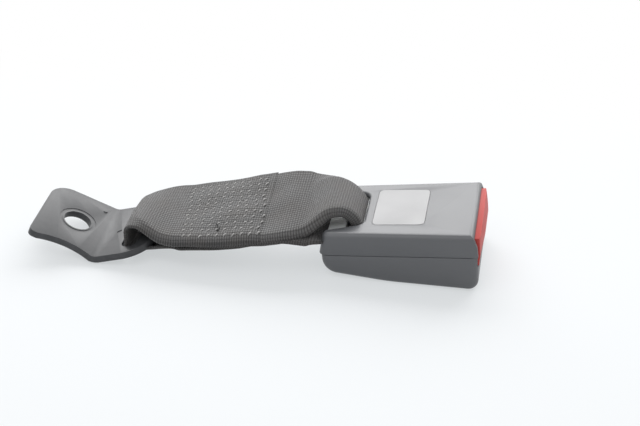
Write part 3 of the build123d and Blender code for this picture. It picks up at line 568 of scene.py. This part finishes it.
class BuckleFinishSettings(bpy.types.PropertyGroup):
    """Colours of the plate, the mouldings and the steel."""

    coating: colour_property("Plate coating", "Dark coating of the anchor plate",
                             (0.043, 0.045, 0.048))
    plastic: colour_property("Covers", "Grained plastic of the covers", (0.088, 0.092, 0.099))
    red: colour_property("Button", "Red plastic of the press button", (0.45, 0.065, 0.058))
    label: colour_property("Label", "Blank film label", (0.27, 0.27, 0.275))
    # painted reflection: near-white colour with little metal stands in for the plated steel's sheen
    zinc: colour_property("Plated steel", "Painted-reflection zinc plate", (0.93, 0.95, 0.94))
    natural: colour_property("Inner mouldings", "Undyed plastic", (0.72, 0.70, 0.64))
    edge: length_property("Edge break", "Rounding of sharp edges", 0.0003)
    latch_coil_gap: length_property("Latch spring gap", "Room between spring and ejector", 0.0002)


class BuckleStageSettings(bpy.types.PropertyGroup):
    """Camera, lamps and floor."""

    focal: FloatProperty(name="Focal length", description="Camera focal length in millimetres",
                         default=87.99)
    eye: FloatVectorProperty(name="Camera", description="Camera position", size=3,
                             subtype="TRANSLATION", default=(0.195153, -0.558766, 0.348027))
    elevation: FloatProperty(name="Elevation", description="Camera tilt below the horizon",
                             subtype="ANGLE", default=math.radians(30.4998))
    azimuth: FloatProperty(name="Azimuth", description="Camera turn about the vertical",
                           subtype="ANGLE", default=math.radians(8.9871))
    floor: colour_property("Floor", "Pale floor", (0.86, 0.87, 0.885))
    backdrop: colour_property("Backdrop", "Plain tone mixed into the floor as seen",
                              (0.835, 0.865, 0.88))
    lift: FloatProperty(name="Shadow lift", description="Share of the backdrop's tone nearby",
                        default=0.62, min=0.0, max=1.0)
    ambient: FloatProperty(name="Ambient", description="Strength of the even light", default=0.55)
    key: FloatProperty(name="Key lamp", description="Power of the large lamp behind",
                       default=16.0, unit="POWER")
    fill: FloatProperty(name="Fill lamp", description="Power of the small front lamp",
                        default=1.4, unit="POWER")


# ------------------------------------------------------------------ operators
# springs copied as pieces of their own, each listed with the slide that moves towards its fixed rear
# end
SQUASHED = {
    "button_spring_left": "button_press", "button_spring_right": "button_press",
    "ejector_spring_left": "ejector_slide", "ejector_spring_right": "ejector_slide",
}


def copied(name, node_name):
    """Copy of a CAD node, standing for that node."""
    mesh = NODES[node_name].data.copy()
    mesh.name = name
    mesh.transform(NODES[node_name].matrix_world)
    piece = linked(name, mesh)
    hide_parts(node_name)
    return piece


def coil(node_name):
    """Copy of a spring, with a mesh of its own, riding with the buckle."""
    piece = copied(f"coil_{node_name}", node_name)
    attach(piece, "buckle")
    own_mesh(piece)
    return piece


def softened(name, node_name, width, segments=2):
    """Copy of a CAD node whose sharp edges are broken, standing for that node."""
    mesh = NODES[node_name].data.copy()
    mesh.name = name
    work = bmesh.new()
    work.from_mesh(mesh)
    bmesh.ops.remove_doubles(work, verts=work.verts, dist=1e-6)
    bmesh.ops.dissolve_limit(work, angle_limit=math.radians(FLAT_ANGLE), verts=work.verts,
                             edges=work.edges)
    work.to_mesh(mesh)
    work.free()
    mesh.update()
    piece = linked(name, mesh)
    bevel = piece.modifiers.new("Edge break", "BEVEL")
    bevel.width = width
    bevel.segments = segments
    bevel.limit_method = "ANGLE"
    bevel.angle_limit = math.radians(BREAK_ANGLE)
    bevel.use_clamp_overlap = True
    bevel.harden_normals = False
    apply_modifiers(piece)
    shade_by_angle(piece, SHADE_ANGLE)
    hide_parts(node_name)
    return piece


def apply_modifiers(piece):
    """Makes the modified shape the piece's own mesh."""
    bpy.context.view_layer.update()
    shaped = bpy.data.meshes.new_from_object(
        piece.evaluated_get(bpy.context.evaluated_depsgraph_get()))
    piece.modifiers.clear()
    piece.data = shaped


def shade_by_angle(piece, degrees):
    """Smooth shading that keeps edges sharper than this angle."""
    mesh = piece.data
    mesh.polygons.foreach_set("use_smooth", [True] * len(mesh.polygons))
    work = bmesh.new()
    work.from_mesh(mesh)
    for edge in work.edges:
        edge.smooth = len(edge.link_faces) != 2 or edge.calc_face_angle(0) < math.radians(degrees)
    work.to_mesh(mesh)
    work.free()
    mesh.update()


def paint(piece, material):
    """Gives the piece one material."""
    if piece.material_slots:
        for slot in piece.material_slots:
            slot.material = material
    else:
        piece.data.materials.append(material)


def stitch_places(band, settings):
    """Station and across place of each stitch, with a little seeded scatter."""
    scatter = np.random.default_rng(SEED)
    reach = band.half - settings.margin / MM
    found = []
    columns = int((settings.end_x - settings.start_x) / settings.pitch) + 1
    for column in range(columns):
        for row in range(settings.rows):
            v = -reach + 2 * reach * row / (settings.rows - 1)
            place_x = (settings.start_x + column * settings.pitch) / MM
            place_x += (v / reach) * STITCH_SLANT + scatter.normal(0, STITCH_SCATTER)
            station = band.outer_station(place_x)
            found.append((station, v + scatter.normal(0, STITCH_SCATTER)))
    return found


def web_ring(band, stitches, seal, dimple):
    """Rings of points round the webbing, in millimetres, and their places across it."""
    across = np.linspace(-band.half, band.half, WEB_COLUMNS + 1)
    middle = np.array([[band.place(i, v) for v in across] for i in range(len(band.line))])
    normals = grid_normals(middle)
    outwards = np.stack(
        (-band.tangent[:, 1], 0 * band.tangent[:, 0], band.tangent[:, 0]), 1)
    sides = np.sign(np.sum(normals[:, WEB_COLUMNS // 2] * outwards, axis=1))
    normals *= sides[:, None, None]
    edge = np.minimum((band.half - np.abs(across)) / (band.thickness * EDGE_ROUND), 1.0)
    body = np.sqrt(np.clip(1 - (1 - edge) ** 2, 0, 1)) * band.thickness / 2
    thinning = np.clip((band.length - band.run) * MM / seal, THINNEST, 1)[:, None]
    body = body[None, :] * thinning
    dips = np.zeros(middle.shape[:2])
    stations = np.arange(len(band.line))[:, None] * band.step
    for station, v in stitches:
        gap = (stations - station * band.step) ** 2 + (across[None, :] - v) ** 2
        dips = np.maximum(dips, np.exp(-gap / DIMPLE_SPREAD))
    dips *= dimple / MM * thinning
    upper = middle + normals * (body - dips)[:, :, None]
    lower = middle - normals * body[:, :, None]
    ring = np.concatenate((upper, lower[:, -2:0:-1]), axis=1)
    return ring, np.concatenate((across, across[-2:0:-1]))


def web_faces(rows, cols, run, across):
    """Faces of a closed band of rings, and the flat place of each of their corners."""
    faces, corners = [], []
    for i in range(rows - 1):
        for j in range(cols):
            k = (j + 1) % cols
            faces.append((i * cols + j, i * cols + k, (i + 1) * cols + k, (i + 1) * cols + j))
            s0, s1 = run[i], run[i + 1]
            corners += [(s0, across[j]), (s0, across[k]), (s1, across[k]), (s1, across[j])]
    for i in (0, rows - 1):
        for j in range(WEB_COLUMNS):
            quad = [i * cols + j, i * cols + j + 1]
            if j + 1 < WEB_COLUMNS:
                quad.append(i * cols + (cols - j - 1) % cols)
            if j > 0:
                quad.append(i * cols + (cols - j) % cols)
            faces.append(tuple(quad if i == 0 else quad[::-1])[::-1])
            corners += [(run[i], 0.0)] * len(quad)
    return faces, corners


class BUCKLE_OT_webbing(bpy.types.Operator):
    """Build the looped, folded and sewn webbing."""

    bl_idname = "buckle.webbing"
    bl_label = "Webbing strap"

    def execute(self, context):
        settings = context.scene.buckle_webbing
        stitch = context.scene.buckle_stitch
        band = Band(settings)
        ring, across = web_ring(band, stitch_places(band, stitch), settings.seal, stitch.dimple)
        ring = ring * MM
        faces, corners = web_faces(*ring.shape[:2], band.run * MM, across * MM)
        piece = new_object("webbing", ring.reshape(-1, 3), faces)
        layer = piece.data.uv_layers.new(name=UV_NAME)
        layer.data.foreach_set("uv", np.array(corners, np.float32).ravel())
        face_outwards(piece.data)
        paint(piece, webbing_material(settings))
        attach(piece, "strap")
        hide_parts("webbing_strap")
        return {"FINISHED"}


def add_tube(verts, faces, centres, radius, frames, sides=6):
    """Appends a closed tube through the centres, in millimetres, to verts and faces."""
    start = len(verts)
    for centre, (side, up) in zip(centres, frames):
        for k in range(sides):
            a = 2 * math.pi * k / sides
            verts.append((centre + radius * (side * math.cos(a) + up * math.sin(a))) * MM)
    for r in range(len(centres) - 1):
        for k in range(sides):
            n = (k + 1) % sides
            faces.append((start + r * sides + k, start + r * sides + n,
                          start + (r + 1) * sides + n, start + (r + 1) * sides + k))
    faces.append(tuple(start + k for k in range(sides))[::-1])
    last = start + (len(centres) - 1) * sides
    faces.append(tuple(last + k for k in range(sides)))


def surface_frame(band, station, v):
    """Place on the band with its unit directions along, across and up."""
    here = band.place(station, v)
    step = 1 if station + 1 < len(band.line) else -1
    along = (band.place(station + step, v) - here) * step
    along /= np.linalg.norm(along)
    across = band.place(station, v + 0.5) - here
    across /= np.linalg.norm(across)
    up = np.cross(along, across)
    return here, along, across, up * math.copysign(1, up[2])


def thread_piece(name, verts, faces, material):
    """Piece of sewing thread that rides with the strap."""
    piece = new_object(name, verts, faces)
    face_outwards(piece.data)
    paint(piece, material)
    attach(piece, "strap")


class BUCKLE_OT_stitching(bpy.types.Operator):
    """Build the raised thread of the sewn block and its loose end."""

    bl_idname = "buckle.stitching"
    bl_label = "Stitching"

    def execute(self, context):
        settings = context.scene.buckle_stitch
        band = Band(context.scene.buckle_webbing)
        radius = settings.radius / MM
        lift = band.thickness / 2 - settings.dimple / MM
        bends = np.linspace(-1, 1, THREAD_POINTS)
        verts, faces = [], []
        for station, v in stitch_places(band, settings):
            here, along, across, up = surface_frame(band, station, v)
            thread = along * THREAD_ALONG + across * THREAD_ACROSS
            side = across * THREAD_ALONG - along * THREAD_ACROSS
            centres = [here + thread * b * settings.length / MM / 2
                       + up * (lift + radius * (0.75 - 1.5 * b ** 4)) for b in bends]
            add_tube(verts, faces, centres, radius, [(side, up)] * len(bends))
        thread_piece("stitching", verts, faces, grained(
            "Sewing thread", settings.colour, (0.30, 0.29, 0.28), 0.5, 0.6, grain_scale=3000.0,
            bump=0.4))
        self.loose_end(band, settings, radius)
        return {"FINISHED"}

    @staticmethod
    def loose_end(band, settings, radius):
        """Dark tail of thread that lies across the last rows."""
        station = band.outer_station(settings.tail_x / MM)
        centres, frames = [], []
        for t in np.linspace(0, 1, 9):
            v = settings.tail_v / MM + t * settings.tail_length / MM
            here, along, across, up = surface_frame(band, station, v)
            height = band.thickness / 2 + radius * 0.6
            sway = TAIL_SWAY * math.sin(TAIL_TURN * t) - TAIL_LEAN * t
            centres.append(here + along * sway + up * height)
            frames.append((along, up))
        verts, faces = [], []
        add_tube(verts, faces, centres, radius * TAIL_THIN, frames)
        thread_piece("thread_tail", verts, faces, grained(
            "Dark thread", settings.tail_colour, (0.02, 0.02, 0.02), 0.5, 0.6))


class BUCKLE_OT_plate(bpy.types.Operator):
    """Finish the anchor plate: dark coating with soft edges and specks."""

    bl_idname = "buckle.plate"
    bl_label = "Anchor plate"

    def execute(self, context):
        finish = context.scene.buckle_finish
        piece = softened("plate", "anchor_plate", finish.edge * 1.3)
        paint(piece, grained("Dark coated steel", finish.coating, (0.11, 0.11, 0.115), 0.35, 0.40,
                             spread=0.12, tint_scale=220.0, grain_scale=900.0, bump=0.12,
                             depth=0.0001, specular=0.32))
        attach(piece, "anchor")
        return {"FINISHED"}


class BUCKLE_OT_covers(bpy.types.Operator):
    """Finish the two covers in grained plastic with broken edges."""

    bl_idname = "buckle.covers"
    bl_label = "Covers"

    def execute(self, context):
        finish = context.scene.buckle_finish
        plastic = grained("Grained plastic", finish.plastic, (0.11, 0.114, 0.12), 0.25, 0.42,
                          spread=0.06, tint_scale=40.0, grain_scale=2600.0, bump=0.2,
                          specular=0.66)
        for name, source in (("cover_top", "upper_cover"), ("cover_bottom", "lower_cover")):
            piece = softened(name, source, finish.edge)
            paint(piece, plastic)
            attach(piece, "buckle")
        return {"FINISHED"}


class BUCKLE_OT_label(bpy.types.Operator):
    """Finish the blank label."""

    bl_idname = "buckle.label"
    bl_label = "Label"

    def execute(self, context):
        finish = context.scene.buckle_finish
        paint(NODES["rating_label"], grained(
            "Satin film", finish.label, (0.24, 0.24, 0.245), 0.4, 0.36, grain_scale=1800.0,
            bump=0.05))
        return {"FINISHED"}


class BUCKLE_OT_button(bpy.types.Operator):
    """Finish the red press button."""

    bl_idname = "buckle.button"
    bl_label = "Press button"

    def execute(self, context):
        finish = context.scene.buckle_finish
        piece = softened("button", "press_button", finish.edge)
        paint(piece, grained("Red plastic", finish.red, (0.46, 0.07, 0.06), 0.3, 0.40,
                             grain_scale=2200.0, bump=0.08, specular=0.10))
        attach(piece, "button")
        return {"FINISHED"}


class BUCKLE_OT_mechanism(bpy.types.Operator):
    """Finish the frame, latch, lock, ejector and springs."""

    bl_idname = "buckle.mechanism"
    bl_label = "Mechanism"

    def execute(self, context):
        finish = context.scene.buckle_finish
        # painted reflection: a near-white base with little metal makes the frame read white inside
        # the notch
        zinc = grained("Painted-reflection zinc", finish.zinc, (0.78, 0.82, 0.80), 0.3, 0.34, spread=0.1,
                       tint_scale=90.0, grain_scale=900.0, bump=0.02, metallic=0.2)
        steel = grained("Ground steel", (0.36, 0.36, 0.37), (0.26, 0.26, 0.27), 0.4, 0.36,
                        tint_scale=120.0, bump=0.08, metallic=1.0)
        wire = grained("Spring wire", (0.5, 0.5, 0.51), (0.4, 0.4, 0.41), 0.3, 0.3, metallic=1.0)
        natural = grained("Natural plastic", finish.natural, (0.66, 0.63, 0.56), 0.3, 0.45)
        finishes = {
            "base_frame": zinc, "tongue_guide": natural, "latch_plate": steel,
            "latch_pivot_pin": steel, "lock_slider": natural, "lock_pin": steel,
            "lock_spring": wire, "ejector": natural,
        }
        for name, material in finishes.items():
            paint(NODES[name], material)
        for name, joint in SQUASHED.items():
            paint(coil(name), wire)
        latch_coil = copied("coil_latch", "latch_spring")
        for vertex in latch_coil.data.vertices:
            vertex.co.y -= finish.latch_coil_gap
        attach(latch_coil, "buckle")
        paint(latch_coil, wire)
        return {"FINISHED"}


def area_lamp(name, place, size, power, colour):
    """Rectangular lamp at place, facing the buckle."""
    lamp = bpy.data.lights.new(name, "AREA")
    lamp.shape = "RECTANGLE"
    lamp.size, lamp.size_y = size
    lamp.energy = power
    lamp.color = colour
    holder = linked(name, lamp)
    holder.location = place
    facing = Vector(LAMP_TARGET) - Vector(place)
    holder.rotation_euler = facing.to_track_quat("-Z", "Y").to_euler()


class BUCKLE_OT_stage(bpy.types.Operator):
    """Build the floor, lamps, even light and camera."""

    bl_idname = "buckle.stage"
    bl_label = "Stage"

    def execute(self, context):
        settings = context.scene.buckle_stage
        self.camera(context, settings)
        self.floor(settings)
        self.light(context, settings)
        context.scene.view_settings.view_transform = "Standard"
        return {"FINISHED"}

    @staticmethod
    def camera(context, settings):
        """Camera at the set place, turn and tilt."""
        camera = bpy.data.cameras.new("Camera")
        camera.lens = settings.focal
        camera.sensor_width = 36.0
        holder = linked("Camera", camera)
        sin_a, cos_a = math.sin(settings.azimuth), math.cos(settings.azimuth)
        sin_e, cos_e = math.sin(settings.elevation), math.cos(settings.elevation)
        right = Vector((cos_a, sin_a, 0))
        forward = Vector((-sin_a * cos_e, cos_a * cos_e, -sin_e))
        above = right.cross(forward)
        turn = Matrix((right, above, -forward)).transposed()
        holder.matrix_world = Matrix.Translation(Vector(settings.eye)) @ turn.to_4x4()
        context.scene.camera = holder

    @staticmethod
    def floor(settings):
        """Wide pale floor that keeps shadows and fades to white far behind."""
        verts = [(x * FLOOR_REACH, y * FLOOR_REACH, FLOOR_Z)
                 for x, y in ((-1, -1), (1, -1), (1, 1), (-1, 1))]
        floor = new_object("Floor", verts, [(0, 1, 2, 3)], smooth_faces=False)
        material, tree, shader = empty_material("Pale floor")
        shader.inputs["Base Color"].default_value = (*settings.floor, 1)
        shader.inputs["Roughness"].default_value = 0.85
        glow = node(tree, "ShaderNodeEmission")
        place = node(tree, "ShaderNodeTexCoord")
        parts = node(tree, "ShaderNodeSeparateXYZ")
        link(tree, place.outputs["Object"], parts.inputs[0])
        far = node(tree, "ShaderNodeMapRange", interpolation_type="SMOOTHSTEP",
                   i1=FADE[0], i2=FADE[1])
        link(tree, parts.outputs[1], far.inputs[0])
        tone = node(tree, "ShaderNodeMix", data_type="RGBA", i6=(*settings.backdrop, 1),
                    i7=(1, 1, 1, 1))
        link(tree, far.outputs[0], tone.inputs[0])
        link(tree, tone.outputs[2], glow.inputs["Color"])
        fade = node(tree, "ShaderNodeMapRange", i3=settings.lift, i4=1.0)
        link(tree, far.outputs[0], fade.inputs[0])
        mix = node(tree, "ShaderNodeMixShader")
        link(tree, maths(tree, "MULTIPLY", fade.outputs[0], seen_directly(tree)), mix.inputs[0])
        link(tree, shader.outputs[0], mix.inputs[1])
        link(tree, glow.outputs[0], mix.inputs[2])
        link(tree, mix.outputs[0], tree.nodes["Material Output"].inputs["Surface"])
        paint(floor, material)

    @staticmethod
    def light(context, settings):
        """Large lamp above and behind, small fill in front, and even light all round."""
        area_lamp("Key lamp", KEY_PLACE, KEY_SIZE, settings.key, (1.0, 1.0, 1.0))
        area_lamp("Fill lamp", FILL_PLACE, FILL_SIZE, settings.fill, (0.97, 0.985, 1.0))
        world = bpy.data.worlds.new("Studio")
        world.use_nodes = True
        tree = world.node_tree
        background = tree.nodes["Background"]
        strength = node(tree, "ShaderNodeMapRange", i3=settings.ambient, i4=1.0)
        link(tree, seen_directly(tree), strength.inputs[0])
        link(tree, strength.outputs[0], background.inputs["Strength"])
        background.inputs["Color"].default_value = (1, 1, 1, 1)
        context.scene.world = world


class BUCKLE_PT_panel(bpy.types.Panel):
    """Sidebar panel that lists the buckle's steps and settings."""

    bl_idname = "BUCKLE_PT_panel"
    bl_label = "Seat belt buckle"
    bl_space_type = "VIEW_3D"
    bl_region_type = "UI"
    bl_category = "Buckle"

    def draw(self, context):
        for step in STEPS:
            self.layout.operator(step.bl_idname)
        for name, group in SETTINGS.items():
            box = self.layout.box()
            box.label(text=group.__doc__)
            for key in group.__annotations__:
                box.prop(getattr(context.scene, name), key)


SETTINGS = {
    "buckle_webbing": BuckleWebbingSettings,
    "buckle_stitch": BuckleStitchSettings,
    "buckle_finish": BuckleFinishSettings,
    "buckle_stage": BuckleStageSettings,
}
STEPS = (
    BUCKLE_OT_stage, BUCKLE_OT_webbing, BUCKLE_OT_stitching, BUCKLE_OT_plate,
    BUCKLE_OT_covers, BUCKLE_OT_label, BUCKLE_OT_button, BUCKLE_OT_mechanism,
)


def register():
    """Registers the classes and hangs the settings on the scene."""
    for cls in (*SETTINGS.values(), *STEPS, BUCKLE_PT_panel):
        bpy.utils.register_class(cls)
    for name, group in SETTINGS.items():
        setattr(bpy.types.Scene, name, PointerProperty(type=group))


def unregister():
    """Takes the settings and classes away again."""
    for name in SETTINGS:
        delattr(bpy.types.Scene, name)
    for cls in reversed((*SETTINGS.values(), *STEPS, BUCKLE_PT_panel)):
        bpy.utils.unregister_class(cls)


def main():
    """Builds everything."""
    register()
    bpy.ops.buckle.stage()
    bpy.ops.buckle.webbing()
    bpy.ops.buckle.stitching()
    bpy.ops.buckle.plate()
    bpy.ops.buckle.covers()
    bpy.ops.buckle.label()
    bpy.ops.buckle.button()
    bpy.ops.buckle.mechanism()
    bpy.context.view_layer.update()


if __name__ == "__main__":
    main()
